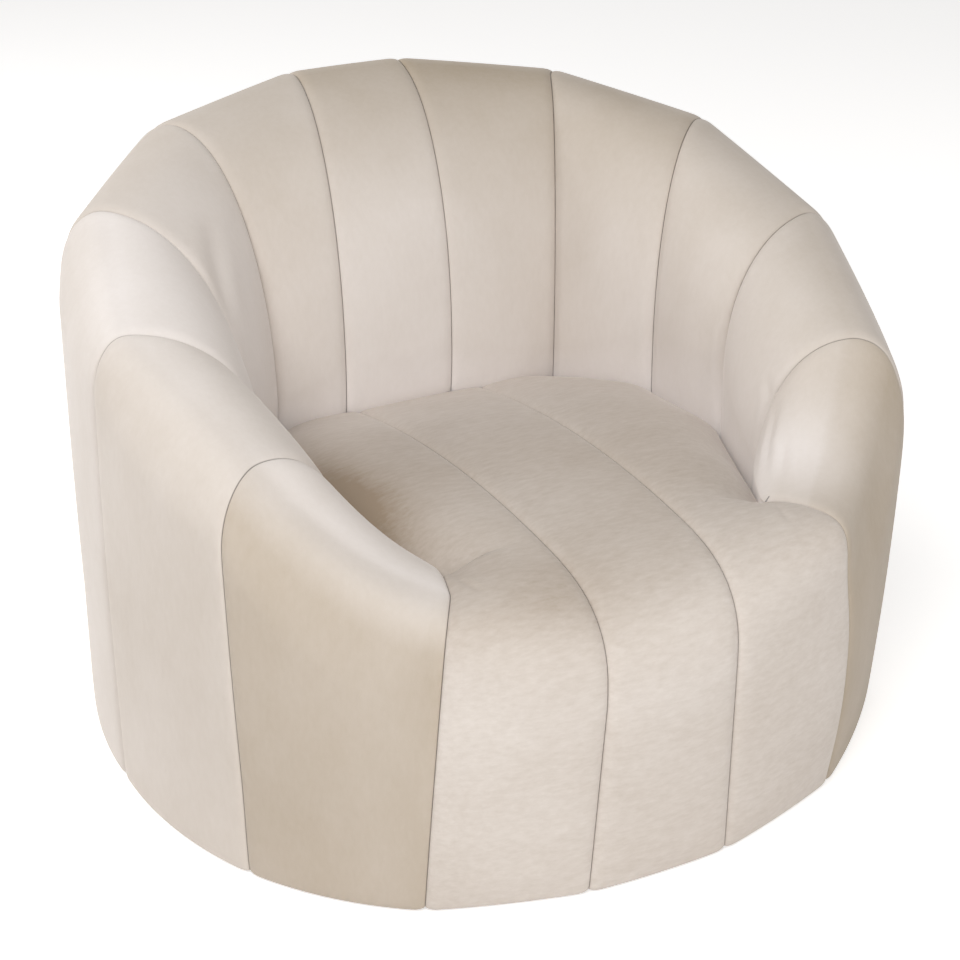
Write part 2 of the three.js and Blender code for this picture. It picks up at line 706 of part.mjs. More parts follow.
const frameWidth = seatFrameHalfWidth;
const frontInner = seatFrameFront + seatRailThickness;
const backInner = seatFrameBack - seatRailThickness;
const legFoot = boardHeight + boardThickness + fitGap;
const frontBoard = barThrough([seatFrameFront, frontInner].map((y) => [
  new THREE.Vector3(-frameWidth, y, legFoot),
  new THREE.Vector3(-frameWidth, y, deckHeight(y) - railDrop),
  new THREE.Vector3(frameWidth, y, deckHeight(y) - railDrop),
  new THREE.Vector3(frameWidth, y, legFoot),
]));
addPiece('front_board', frontBoard, plywood);
addPiece('seat_rail_rear', deckBar(-frameWidth, frameWidth, backInner, seatFrameBack, railDrop, seatRailHeight), plywood);
for (const [sideName, side] of [['right', 1], ['left', -1]]) {
  const edges = [side * (frameWidth - seatRailThickness), side * frameWidth].sort((a, b) => a - b);
  const rail = deckBar(edges[0], edges[1], frontInner + fitGap, backInner - fitGap, railDrop, seatRailHeight);
  addPiece(`seat_rail_${sideName}`, rail, plywood);
  const legEdges = [side * (frameWidth - 2 * seatRailThickness), side * frameWidth].sort((a, b) => a - b);
  const topAt = (y) => deckHeight(y) - railDrop - seatRailHeight - fitGap;
  const leg = barThrough([backInner, seatFrameBack].map((y) => [
    new THREE.Vector3(legEdges[0], y, legFoot),
    new THREE.Vector3(legEdges[0], y, topAt(y)),
    new THREE.Vector3(legEdges[1], y, topAt(y)),
    new THREE.Vector3(legEdges[1], y, legFoot),
  ]));
  addPiece(`seat_leg_${sideName}`, leg, plywood);
}

// Sinuous springs from the front rail to the rear rail
for (let n = 0; n < springCount; n++) {
  const x = (n - (springCount - 1) / 2) * springPitch;
  const run = seatFrameBack - seatFrameFront - 2 * seatRailThickness / 2;
  const loops = Math.round(run / springLoopLength);
  const path = [];
  for (let i = 0; i <= loops * springLoopSteps; i++) {
    const t = i / (loops * springLoopSteps);
    const y = seatFrameFront + seatRailThickness / 2 + run * t;
    const swing = (springLoopWidth / 2) * Math.sin(2 * Math.PI * loops * t);
    path.push(new THREE.Vector3(x + swing, y, deckHeight(y) - wireDrop - springWireRadius));
  }
  const wire = new THREE.Shape();
  wire.absarc(0, 0, springWireRadius, 0, 2 * Math.PI, false);
  const curve = new THREE.CatmullRomCurve3(path);
  const options = { steps: loops * springLoopSteps, curveSegments: springSides, extrudePath: curve };
  addPiece(`seat_spring_${n + 1}`, new THREE.ExtrudeGeometry(wire, options), springSteel);
}

addPiece('spring_felt', deckBar(-frameWidth, frameWidth, seatFrameFront, seatFrameBack, feltDrop, feltThickness), felt);

// Dust cover stapled under the boards, and the glides that the chair stands on
const coverOutline = [];
for (let i = 0; i < roundSides; i++) {
  const angle = (360 * i) / roundSides;
  coverOutline.push(planPoint(footprintRadius(angle) - dustCoverInset, angle));
}
const coverOptions = { depth: dustCoverThickness, bevelEnabled: false };
const dustCover = new THREE.ExtrudeGeometry(new THREE.Shape(coverOutline), coverOptions);
dustCover.translate(0, 0, boardHeight - fitGap - dustCoverThickness);
addPiece('dust_cover', dustCover, dustCloth);

for (let n = 0; n < glideCount; n++) {
  const place = planPoint(glideRingRadius, (n + 1 / 2) * (360 / glideCount));
  const top = boardHeight - fitGap;
  const profile = [
    new THREE.Vector2(0, 0),
    new THREE.Vector2(glideRadius - glideEdge, 0),
    new THREE.Vector2(glideRadius, glideEdge),
    new THREE.Vector2(glideRadius, top),
    new THREE.Vector2(0, top),
  ];
  const glide = new THREE.LatheGeometry(profile, roundSides);
  glide.rotateX(Math.PI / 2);
  glide.translate(place.x, place.y, 0);
  addPiece(`glide_${n + 1}`, glide, glidePlastic);
}

// Stands the chair on z = 0 with the origin under the middle of its box
const box = new THREE.Box3().setFromObject(chair);
const middle = box.getCenter(new THREE.Vector3());
chair.position.set(-middle.x, -middle.y, 0);

export default chair;
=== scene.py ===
import json
import math
import bmesh
import bpy
import numpy as np
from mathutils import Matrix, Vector

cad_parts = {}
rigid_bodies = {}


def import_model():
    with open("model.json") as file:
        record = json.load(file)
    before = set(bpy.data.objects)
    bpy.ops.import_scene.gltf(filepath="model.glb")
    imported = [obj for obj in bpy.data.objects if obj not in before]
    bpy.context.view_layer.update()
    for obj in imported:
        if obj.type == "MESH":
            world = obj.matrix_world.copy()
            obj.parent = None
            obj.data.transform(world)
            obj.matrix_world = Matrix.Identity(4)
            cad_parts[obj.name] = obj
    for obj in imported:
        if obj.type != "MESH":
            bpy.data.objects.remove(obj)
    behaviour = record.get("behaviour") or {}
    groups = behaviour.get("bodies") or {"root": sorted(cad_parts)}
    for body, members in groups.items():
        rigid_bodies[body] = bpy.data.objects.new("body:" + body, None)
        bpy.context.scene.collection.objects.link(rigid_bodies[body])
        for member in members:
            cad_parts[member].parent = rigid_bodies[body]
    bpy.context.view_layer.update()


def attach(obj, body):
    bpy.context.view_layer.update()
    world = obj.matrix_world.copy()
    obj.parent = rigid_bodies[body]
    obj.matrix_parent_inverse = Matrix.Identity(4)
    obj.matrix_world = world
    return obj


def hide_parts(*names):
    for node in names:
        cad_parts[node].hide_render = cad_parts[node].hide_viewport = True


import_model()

mm = 0.001

# The shell is laid out round the middle of the base circle, which lies a little behind the box's middle.
# Each list runs from the seam at the front corner of the arm to the seam beside the middle of the back, in mm and
# degrees. Where a value has two lists, 1 is the right side and -1 the left.
shell = {
    "middleY": 12.192 * mm,
    "hemAngles": [31.6, 55.2, 83.1, 114.4, 141.9, 169.7],
    "crownAngles": [28.4, 55.7, 85.9, 114.4, 141.9, 169.7],
    "base": [522, 520.5, 513, 510, 500, 488],
    "wall": [531, 528, 495, 504, 497, 486],
    "crown": [471, 460.5, 452, 450, 435, 425],
    "height": [393, 510.5, 579.5, 645, 684, 704],
    "shoulder": [117, 82, 70, 75, 60, 64],
    "shoulderRound": [4, 2, 2, 2, 2, 2],
    "roll": [14, 166, 162, 242, 342, 322],  # how far the rim's roll comes down inside
    "rollRound": 2.2,
    "bulge": {1: [1.03, 0.98, 1.03, 1.03, 1.03, 1.03], -1: [1.03, 1.07, 1.03, 1.03, 1.03, 1.03]},
    "pinch": {1: {"roll": 25, "rollRound": 1.3, "footHeight": 367},
              -1: {"roll": 19, "rollRound": 1.7, "footHeight": 371}},
    "footAngles": [30.5, 51.4, 76.6, 103.1, 133.2, 157.9],
    "footRadius": [405, 352.7, 325.2, 300, 282, 204.3],
    "footHeight": [374, 300, 307, 311, 294, 301.5],
    "centreDrift": -30,
    "wallSwell": 3,
    "wallStraight": 0.55,
    "hemHeight": 2,
    "hemRadius": 8,
    "flapEnd": 418,
    "flapHeight": 11.5,
    "tuck": 60,
    "armSweep": 2,  # how late the front of the arm falls to its corner
    "shoulderLean": {1: [8, 8, -3, 0, 0, 0], -1: [0, 0, 0, 0, 0, 0]},
    "hemLean": {1: [7, 0, 0, 0, 0, 0], -1: [1, -5, -1, 0, 0, 0]},
    # some channels are pulled flatter from seam to seam, and some are fuller at the shoulder
    "flatness": {"velvet_channel_right_1": 0.5, "velvet_channel_right_2": 0.6},
    "fuller": {"velvet_channel_left_3": 7, "velvet_channel_left_2": 2},
    # painted light and shade, with some of the lie of the pile: the tones below darken the rim, lighten the inside
    # towards the seat, and make each channel's outside lighter or darker as light falls on it
    "insideNapAndPaintedLight": [-0.02, 0.16, 0.52],  # high, middle and low on the inside
    "rimNapAndPaintedLight": {"velvet_channel_left_1": 0.22, "velvet_channel_left_2": 0.14, "velvet_channel_left_3": 0.24,
                "velvet_channel_left_4": -0.04, "velvet_channel_left_5": -0.14, "velvet_channel_back": -0.34,
                "velvet_channel_right_5": -0.44, "velvet_channel_right_4": -0.31, "velvet_channel_right_3": -0.16},
    "middleNapAndPaintedLight": {"velvet_channel_left_3": 0.2, "velvet_channel_left_4": 0.2, "velvet_channel_left_1": 0.15,
                   "velvet_channel_right_2": 0.1, "velvet_channel_back": 0.08},
    "outsideNapAndPaintedLight": {"velvet_channel_left_1": -0.3, "velvet_channel_left_2": -0.03, "velvet_channel_left_3": 0.1,
                    "velvet_channel_right_1": -0.38},
    "napAndPaintedLightElsewhere": {"rim": -0.12, "outside": -0.05},
    "cover": 11,  # cloth and wadding together
    "puffOutside": 2,
    "puffCrown": 1,
    "puffInside": 7,
}
# How the cover meets a seam, in mm: it rounds down over a width, the stitch line pulls it a little deeper, and
# within "shared" the channels on both sides of a seam move the same way
seamStyle = {"rise": 3.4, "width": 15, "crest": 0.4, "power": 2.4, "dip": 1.3, "dipWidth": 0.7, "gap": 0.3,
             "shared": 12, "pillow": 0.8, "creaseEnd": 6}


def planPoint(radius, angle, side):
    turn = math.radians(angle)
    return np.array([side * radius * math.sin(turn), -radius * math.cos(turn)])


def superQuarter(count, power):
    # a quarter of a super-ellipse from (0, 0) to (1, 1), which starts flat and ends upright
    turn = np.linspace(0, math.pi / 2, count)
    return np.sin(turn) ** (2 / power), 1 - np.maximum(np.cos(turn), 0) ** (2 / power)


def smoothed(line, rounds):
    # rounds off a line, whose ends stay
    for _ in range(rounds):
        line[1:-1] = line[1:-1] * 0.5 + (line[:-2] + line[2:]) * 0.25
    return line


def spread(line, count):
    # the same line with its points at equal distances
    steps = np.linalg.norm(np.diff(line, axis=0), axis=1)
    along = np.concatenate([[0], np.cumsum(steps)])
    want = np.linspace(0, along[-1], count)
    return np.stack([np.interp(want, along, line[:, i]) for i in range(line.shape[1])], axis=1)


# How many rows each stretch of a channel has, from the flap stapled under the base to the tuck at the seat. The hem
# is the flap and its curl together
rows = {"flap": 5, "curl": 9, "hem": 14, "wall": 56, "shoulder": 26, "roll": 60, "inner": 54, "tuck": 8}
smoothRounds = 6


def hemProfile(flapEnd, radius):
    # the flap under the base and the rounded hem, as distance from the middle and height
    hem, hemZ = shell["hemRadius"], shell["hemHeight"]
    t = np.linspace(0, 1, rows["flap"] + 1)[:-1]
    flapZ = shell["flapHeight"]
    flap = np.stack([flapEnd + (radius - hem - flapEnd) * t, flapZ + (hemZ - flapZ) * t], axis=1)
    turn = np.linspace(0, math.pi / 2, rows["curl"])
    curl = np.stack([radius - hem + hem * np.sin(turn), hemZ + hem - hem * np.cos(turn)], axis=1)
    return np.concatenate([flap, curl])


def seamLine(k, side):
    # one seam from the flap under the base, up the outside, over the rim and down the inside to the seat
    base, wall, crownRadius = shell["base"][k], shell["wall"][k], shell["crown"][k]
    height, shoulder = shell["height"][k], shell["shoulder"][k]
    wallFoot = shell["hemHeight"] + shell["hemRadius"]
    wallTop = height - shoulder
    t = np.linspace(0, 1, rows["wall"] + 1)[1:]
    swell = shell["wallSwell"] * np.sin(math.pi * t)
    wallLine = np.stack([base + (wall - base) * t + swell, wallFoot + (wallTop - wallFoot) * t], axis=1)
    along, up = superQuarter(240, shell["shoulderRound"][k])
    arc = np.stack([wall + (crownRadius - wall) * up, wallTop + shoulder * along], axis=1)
    radial = np.concatenate([hemProfile(shell["flapEnd"], base), wallLine, spread(arc, rows["shoulder"] + 1)[1:]])
    # the padding leans in a little at some shoulders
    lean = np.exp(-((radial[:, 1] - wallTop - 0.45 * shoulder) / (0.5 * shoulder)) ** 2)
    radial[:, 0] -= shell["shoulderLean"][side][k] * lean
    radial[rows["flap"]:, 0] -= shell["hemLean"][side][k] * np.exp(-(radial[rows["flap"]:, 1] / 90) ** 2)
    turn = shell["hemAngles"][k] + (shell["crownAngles"][k] - shell["hemAngles"][k]) * radial[:, 1] / height
    turn = np.radians(turn)
    outside = np.stack([side * radial[:, 0] * np.sin(turn), -radial[:, 0] * np.cos(turn), radial[:, 1]], axis=1)

    crownPoint = planPoint(crownRadius, shell["crownAngles"][k], side)
    foot = planPoint(shell["footRadius"][k], shell["footAngles"][k], side)
    rollDrop, rollRound, footHeight = shell["roll"][k], shell["rollRound"], shell["footHeight"][k]
    if k == 0:
        # each arm's front seam is pulled down where it ends at the seat
        pinch = shell["pinch"][side]
        rollDrop, rollRound, footHeight = pinch["roll"], pinch["rollRound"], pinch["footHeight"]
    if k == len(shell["crownAngles"]) - 1:
        foot[0] += shell["centreDrift"]
    reach = np.linalg.norm(foot - crownPoint)
    towards = (foot - crownPoint) / reach
    widest = shell["bulge"][side][k] * reach
    along, down = superQuarter(400, rollRound)
    roll = spread(np.stack([widest * along, height - rollDrop * down], axis=1), rows["roll"] + 1)[1:]
    rollFoot = height - rollDrop
    t = np.linspace(0, 1, rows["inner"] + 1)[1:]
    innerWall = np.stack([widest + (reach - widest) * t * t, rollFoot + (footHeight - rollFoot) * t], axis=1)
    t = np.linspace(0, 1, rows["tuck"] + 1)[1:]
    tuck = np.stack([np.full(len(t), reach), footHeight - shell["tuck"] * t], axis=1)
    flat = np.concatenate([roll, innerWall, tuck])
    inside = np.column_stack([crownPoint + towards * flat[:, :1], flat[:, 1]])
    line = smoothed(np.concatenate([outside, inside]), smoothRounds) * mm
    line[:, 1] += shell["middleY"]
    radialWay = np.stack([side * np.sin(turn), -np.cos(turn)], axis=1)
    level = np.concatenate([radialWay, np.tile(-towards, (len(inside), 1))])
    return line, outwardOf(line, level)


def outwardOf(line, level):
    # which way the cover faces along a seam; level is the horizontal way out of the shell or the seat there
    step = np.gradient(line, axis=0)
    step /= np.linalg.norm(step, axis=1)[:, None]
    sideways = (step[:, :2] * level).sum(axis=1)
    facing = np.column_stack([level * step[:, 2:3], -sideways])
    return facing / np.linalg.norm(facing, axis=1)[:, None]


crownRow = rows["hem"] + rows["wall"] + rows["shoulder"] - 1
rollEndRow = crownRow + rows["roll"]
footRow = rollEndRow + rows["inner"]
lastSeam = len(shell["crownAngles"]) - 1


def acrossShares(width):
    # columns close together beside the seams, where the cover dives into them
    near = np.array([0, 0.25, 0.6, 1.1, 1.8, 3, 5, 8, 12]) * mm / width
    middle = np.linspace(near[-1], 1 - near[-1], 42)[1:-1]
    return np.concatenate([near, middle, 1 - near[::-1]])


def pointsBetween(first, last, shares, straight):
    # rows across a channel: curved round the chair's middle, or straight from seam to seam
    middle = np.array([0, shell["middleY"]])
    a, b = first[:, :2] - middle, last[:, :2] - middle
    angleA = np.arctan2(a[:, 0], -a[:, 1])
    turn = np.arctan2(b[:, 0], -b[:, 1]) - angleA
    turn -= 2 * math.pi * np.round(turn / (2 * math.pi))
    radiusA, radiusB = np.linalg.norm(a, axis=1), np.linalg.norm(b, axis=1)
    t = shares[None, :]
    angle = angleA[:, None] + turn[:, None] * t
    radius = radiusA[:, None] * (1 - t) + radiusB[:, None] * t
    curved = np.stack([radius * np.sin(angle), -radius * np.cos(angle)], axis=2) + middle
    chord = first[:, None, :2] * (1 - t[..., None]) + last[:, None, :2] * t[..., None]
    grid = np.zeros(curved.shape[:2] + (3,))
    grid[..., :2] = curved * (1 - straight[:, None, None]) + chord * straight[:, None, None]
    grid[..., 2] = first[:, None, 2] * (1 - t) + last[:, None, 2] * t
    return grid


def gridNormals(grid):
    down = np.gradient(grid, axis=0)
    across = np.gradient(grid, axis=1)
    normal = np.cross(down, across)
    return normal / np.maximum(np.linalg.norm(normal, axis=2, keepdims=True), 1e-12)


def puffed(grid, shares, height, outward, facing):
    # a pillow over the channel whose edges turn down to the seams; height is per row, in metres
    # beside a seam both channels move the same way, so that no slit opens between them
    normals = gridNormals(grid) * outward
    width = np.linalg.norm(grid[:, -1] - grid[:, 0], axis=1)[:, None]
    pillow = (4 * shares * (1 - shares)) ** seamStyle["pillow"]
    edge = np.minimum(shares, 1 - shares)[None, :] * width / mm
    off = 1 - np.minimum(edge / seamStyle["width"], 1)
    rounding = seamStyle["rise"] * (seamStyle["crest"] - off ** seamStyle["power"])
    rounding -= seamStyle["dip"] * np.exp(-edge / seamStyle["dipWidth"])
    own = np.clip(edge / seamStyle["shared"], 0, 1)[..., None]
    near = np.where((shares < 0.5)[None, :, None], facing[0][:, None, :], facing[1][:, None, :])
    normals = near + (normals - near) * own * own * (3 - 2 * own)
    normals /= np.linalg.norm(normals, axis=2, keepdims=True)
    return grid + normals * (height[:, None] * pillow[None, :] + rounding * mm)[..., None]


# Creases that the padding shows where a channel bends hard, in mm: points along each, its depth and half width
creases = {
    "velvet_channel_left_4": [
        {"points": [(-279, 176, 612), (-283, 162, 604), (-291, 126, 577), (-292, 105, 553), (-291, 85, 518)],
         "depth": 3, "width": 16},
    ],
    "velvet_channel_right_4": [
        {"points": [(296, 74, 485), (290, 66, 440), (289, 66, 380), (291, 68, 325)], "depth": 2.6, "width": 8},
    ],
    "velvet_channel_right_3": [
        {"points": [(322, -70, 480), (315, -73, 434), (314, -75, 377), (314, -76, 330)], "depth": 2.6, "width": 8},
    ],
    "velvet_channel_right_2": [
        {"points": [(292, -208, 446), (285, -222, 428), (276, -226, 404), (270, -228, 380)],
         "depth": 2.4, "width": 7},
    ],
    "velvet_channel_right_1": [
        {"points": [(282, -246, 432), (268, -258, 418), (250, -275, 400), (228, -305, 386)],
         "depth": 2.2, "width": 7},
        {"points": [(262, -300, 412), (246, -318, 403), (230, -340, 394)], "depth": 1.6, "width": 6},
    ],
    "velvet_seat_right": [
        {"points": [(203, -366, 381), (193, -389, 389), (184, -415, 395), (181, -437, 396)],
         "depth": 1.8, "width": 3.6},
        {"points": [(196, -352, 378), (172, -362, 388), (150, -372, 394)], "depth": 1.2, "width": 4},
    ],
    "velvet_seat_left": [
        {"points": [(-197, -371, 383), (-201, -401, 394), (-194, -425, 397)], "depth": 1.5, "width": 4},
    ],
}


def creased(name, grid, outward):
    # presses each crease of this piece into it, with a soft ridge beside it
    normals = gridNormals(grid) * outward
    lift = np.zeros(grid.shape[:2])
    for crease in creases.get(name, []):
        line = np.array(crease["points"], float) * mm
        line[:, 1] += shell["middleY"]
        line = spread(line, 24)
        apart = np.linalg.norm(grid[:, :, None, :] - line[None, None, :, :], axis=3)
        nearest = apart.argmin(axis=2)
        distance = apart.min(axis=2) / (crease["width"] * mm)
        ends = np.sin(math.pi * (nearest + 0.5) / len(line)) ** 0.6
        lift -= crease["depth"] * mm * ends * (np.exp(-distance ** 2) - 0.35 * np.exp(-(distance - 2.1) ** 2))
    # a crease fades out before the seam, which stays closed
    fromSeam = np.minimum(np.linalg.norm(grid - grid[:, :1], axis=2), np.linalg.norm(grid - grid[:, -1:], axis=2))
    lift *= 1 - np.exp(-(fromSeam / (seamStyle["creaseEnd"] * mm)) ** 2)
    return grid + normals * lift[..., None]


# Painted light and shade, with some of the lie of the pile: places, in mm, painted lighter (above 0) or darker, and
# the way the cover faces there
napAndPaintedLightStrokes = {
    "shell": [
        {"at": (278, -347, 414), "size": (45, 60, 40), "face": (-0.3, -0.3, 0.9), "tone": 0.22},
        {"at": (250, -290, 395), "size": (30, 45, 35), "face": (-0.8, 0.2, 0.6), "tone": 0.2},
    ],
    "seat": [
        # painted shadow on the seat beside the left arm
        {"at": (-240, -80, 365), "size": (30, 115, 60), "face": (0, 0, 1), "tone": -0.37},
        {"at": (-225, -190, 375), "size": (32, 90, 60), "face": (0, 0, 1), "tone": -0.32},
        {"at": (-150, -60, 372), "size": (60, 80, 60), "face": (0, 0, 1), "tone": -0.12},
        {"at": (90, -190, 392), "size": (110, 90, 60), "face": (0, 0, 1), "tone": -0.08},
        {"at": (-110, -440, 385), "size": (60, 60, 60), "face": (0, -0.5, 0.9), "tone": -0.12},
        {"at": (166, -472, 375), "size": (50, 50, 50), "face": (0, -0.6, 0.8), "tone": 0.08},
        {"at": (150, -495, 200), "size": (60, 60, 110), "face": (0.2, -1, 0), "tone": -0.06},
    ],
}


def napAndPaintedLightTone(kind, grid, outward):
    normals = gridNormals(grid) * outward
    tone = np.zeros(grid.shape[:2])
    for stroke in napAndPaintedLightStrokes[kind]:
        centre = np.array(stroke["at"], float) * mm
        centre[1] += shell["middleY"]
        away = (grid - centre) / (np.array(stroke["size"], float) * mm)
        facing = np.array(stroke["face"], float)
        facing /= np.linalg.norm(facing)
        turned = np.clip((normals @ facing + 0.1) / 0.6, 0, 1)
        tone += stroke["tone"] * np.exp(-0.5 * (away ** 2).sum(axis=2)) * turned
    return tone


def solidFromGrids(name, visible, hidden, material):
    rowCount, columnCount = visible.shape[:2]
    points = np.concatenate([visible.reshape(-1, 3), hidden.reshape(-1, 3)])
    index = np.arange(rowCount * columnCount).reshape(rowCount, columnCount)
    back = index + rowCount * columnCount
    quads = [np.stack([index[:-1, :-1], index[1:, :-1], index[1:, 1:], index[:-1, 1:]], axis=2).reshape(-1, 4)]
    quads.append(np.stack([back[:-1, :-1], back[:-1, 1:], back[1:, 1:], back[1:, :-1]], axis=2).reshape(-1, 4))
    for edge, backEdge, flip in ((index[:, 0], back[:, 0], False), (index[:, -1], back[:, -1], True),
                                 (index[0], back[0], True), (index[-1], back[-1], False)):
        strip = np.stack([edge[:-1], backEdge[:-1], backEdge[1:], edge[1:]], axis=1)
        quads.append(strip[:, ::-1] if flip else strip)
    faces = np.concatenate(quads)
    mesh = bpy.data.meshes.new(name)
    mesh.from_pydata(points.tolist(), [], faces.tolist())
    kit = bmesh.new()
    kit.from_mesh(mesh)
    if kit.calc_volume(signed=True) < 0:
        bmesh.ops.reverse_faces(kit, faces=kit.faces)
    kit.to_mesh(mesh)
    kit.free()
    mesh.polygons.foreach_set("use_smooth", np.ones(len(mesh.polygons), dtype=bool))
    mesh.materials.append(material)
    piece = bpy.data.objects.new(name, mesh)
    bpy.context.scene.collection.objects.link(piece)
    return piece


def writeCoverNumbers(piece, visible, tone):
    # numbers on the cover for the velvet: how far a point is from its seam, how far along and across, and its tone,
    # partly the lie of the pile and partly painted light and shade
    steps = np.linalg.norm(np.diff(visible, axis=1), axis=2)
    across = np.concatenate([np.zeros((visible.shape[0], 1)), np.cumsum(steps, axis=1)], axis=1)
    edge = np.minimum(across, across[:, -1:] - across)
    middle = visible.shape[1] // 2
    steps = np.linalg.norm(np.diff(visible[:, middle], axis=0), axis=1)
    along = np.broadcast_to(np.concatenate([[0], np.cumsum(steps)])[:, None], edge.shape)
    for label, values in (("fromSeam", edge), ("along", along), ("across", across), ("napAndPaintedLight", tone)):
        layer = piece.data.attributes.new(label, "FLOAT", "POINT")
        layer.data.foreach_set("value", np.concatenate([values.ravel(), values.ravel()]).astype(np.float32))


def linearColor(hexValue):
    channels = [int(hexValue[i:i + 2], 16) / 255 for i in (1, 3, 5)]
    return tuple(c / 12.92 if c <= 0.04045 else ((c + 0.055) / 1.055) ** 2.4 for c in channels) + (1,)


def addNode(tree, kind, values=None, links=None, **settings):
    # adds a node with its settings, sets its inputs, and links others to them
    node = tree.nodes.new(kind)
    for key, value in settings.items():
        setattr(node, key, value)
    for key, value in (values or {}).items():
        node.inputs[key].default_value = value
    for key, source in (links or {}).items():
        tree.links.new(source, node.inputs[key])
    return node


def newMaterial(name):
    material = bpy.data.materials.new(name)
    material.use_nodes = True
    material.node_tree.nodes.clear()
    return material, material.node_tree


def velvetMaterial(name, look):
    # short-pile polyester velvet, woven and brushed: matt seen square on, a pale bloom at grazing angles,
    # lighter and darker places that are partly the lie of the pile and partly painted light and shade, and a fine
    # mottle where it lies unevenly
    material, tree = newMaterial(name)
    place = addNode(tree, "ShaderNodeTexCoord")
    napAndPaintedLight = addNode(tree, "ShaderNodeAttribute", attribute_name="napAndPaintedLight")
    stretched = addNode(tree, "ShaderNodeMapping", {"Scale": look["patchStretch"]},
                        {"Vector": place.outputs["Object"]})
    patches = addNode(tree, "ShaderNodeTexNoise",
                      {"Scale": 1 / (look["patch"] * mm), "Detail": 2.5, "Roughness": 0.55, "Distortion": 0.2},
                      {"Vector": stretched.outputs["Vector"]})
    streaks = addNode(tree, "ShaderNodeMapping", {"Scale": look["streakStretch"]},
                      {"Vector": place.outputs["Object"]})
    fine = addNode(tree, "ShaderNodeTexNoise", {"Scale": 1 / (look["streak"] * mm), "Detail": 4, "Roughness": 0.68},
                   {"Vector": streaks.outputs["Vector"]})
    patchTone = addNode(tree, "ShaderNodeMath", {1: look["patchShare"], 2: -0.5 * look["patchShare"]},
                        {0: patches.outputs["Fac"]}, operation="MULTIPLY_ADD")
    fineTone = addNode(tree, "ShaderNodeMath", {1: look["streakShare"], 2: -0.5 * look["streakShare"]},
                       {0: fine.outputs["Fac"]}, operation="MULTIPLY_ADD")
    both = addNode(tree, "ShaderNodeMath", {}, {0: patchTone.outputs[0], 1: fineTone.outputs[0]}, operation="ADD")
    shade = addNode(tree, "ShaderNodeMath", {}, {0: both.outputs[0], 1: napAndPaintedLight.outputs["Fac"]}, operation="ADD")
    tone = addNode(tree, "ShaderNodeMix", {"A": linearColor(look["dark"]), "B": linearColor(look["light"])},
                   {"Factor": shade.outputs[0]}, data_type="RGBA", clamp_factor=True)
    # painted shade: the stitch line and the groove beside it are darkened, as shade falls into the seam
    seam = addNode(tree, "ShaderNodeAttribute", attribute_name="fromSeam")
    paintedSeamShadeFactor = addNode(tree, "ShaderNodeMapRange",
                     {"From Min": 0.2 * mm, "From Max": 1.6 * mm, "To Min": look["paintedSeamShade"], "To Max": 1},
                     {"Value": seam.outputs["Fac"]})
    shaded = addNode(tree, "ShaderNodeMix", {"Factor": 1.0},
                     {"A": tone.outputs["Result"], "B": paintedSeamShadeFactor.outputs["Result"]},
                     data_type="RGBA", blend_type="MULTIPLY")
    pile = addNode(tree, "ShaderNodeTexNoise", {"Scale": 1 / (look["pile"] * mm), "Detail": 2, "Roughness": 0.6},
                   {"Vector": place.outputs["Object"]})
    rough = addNode(tree, "ShaderNodeMath", {1: 0.35}, {0: fine.outputs["Fac"]}, operation="MULTIPLY")
    relief = addNode(tree, "ShaderNodeMath", {}, {0: pile.outputs["Fac"], 1: rough.outputs[0]}, operation="ADD")
    bump = addNode(tree, "ShaderNodeBump", {"Strength": look["bump"], "Distance": 0.4 * mm},
                   {"Height": relief.outputs[0]})
    surface = addNode(tree, "ShaderNodeBsdfPrincipled",
                      {"Roughness": 0.85, "IOR": 1.5, "Specular IOR Level": 0.2, "Sheen Weight": look["sheen"],
                       "Sheen Roughness": look["sheenRoughness"], "Sheen Tint": linearColor(look["sheenTint"])},
                      {"Base Color": shaded.outputs["Result"], "Normal": bump.outputs["Normal"]})
    addNode(tree, "ShaderNodeOutputMaterial", {}, {"Surface": surface.outputs["BSDF"]})
    return material


velvetLook = {
    "shell": {"dark": "#a6967f", "light": "#ede7e4", "patch": 120, "patchStretch": (1, 1, 0.6), "patchShare": 0.25,
              "streak": 7, "streakStretch": (1, 1, 0.4), "streakShare": 0.12, "pile": 1.4, "bump": 0.3,
              "paintedSeamShade": 0.45, "sheen": 0.3, "sheenRoughness": 0.4, "sheenTint": "#f6f2ef", "tone": 0.55},
    # the seat's lower tone and darker colours are partly the lie of its pile and partly painted shade on its top
    "seat": {"dark": "#9c8b78", "light": "#ebe5e0", "patch": 90, "patchStretch": (0.6, 1, 1), "patchShare": 0.2,
             "streak": 6, "streakStretch": (0.35, 1, 1), "streakShare": 0.34, "pile": 1.4, "bump": 0.3,
             "paintedSeamShade": 0.45, "sheen": 0.3, "sheenRoughness": 0.4, "sheenTint": "#f6f2ef", "tone": 0.41},
}
shellVelvet = velvetMaterial("pale beige velvet of the shell", velvetLook["shell"])
seatVelvet = velvetMaterial("pale beige velvet of the seat", velvetLook["seat"])

seams, seamFacing = {}, {}
for side in (1, -1):
    both = [seamLine(k, side) for k in range(lastSeam + 1)]
    seams[side] = [line for line, facing in both]
    seamFacing[side] = [facing for line, facing in both]
print("seam lines", seams[1][0].shape)


def hiddenGrid(grid, outward, thickness):
    return grid - gridNormals(grid) * outward * thickness[:, None, None]


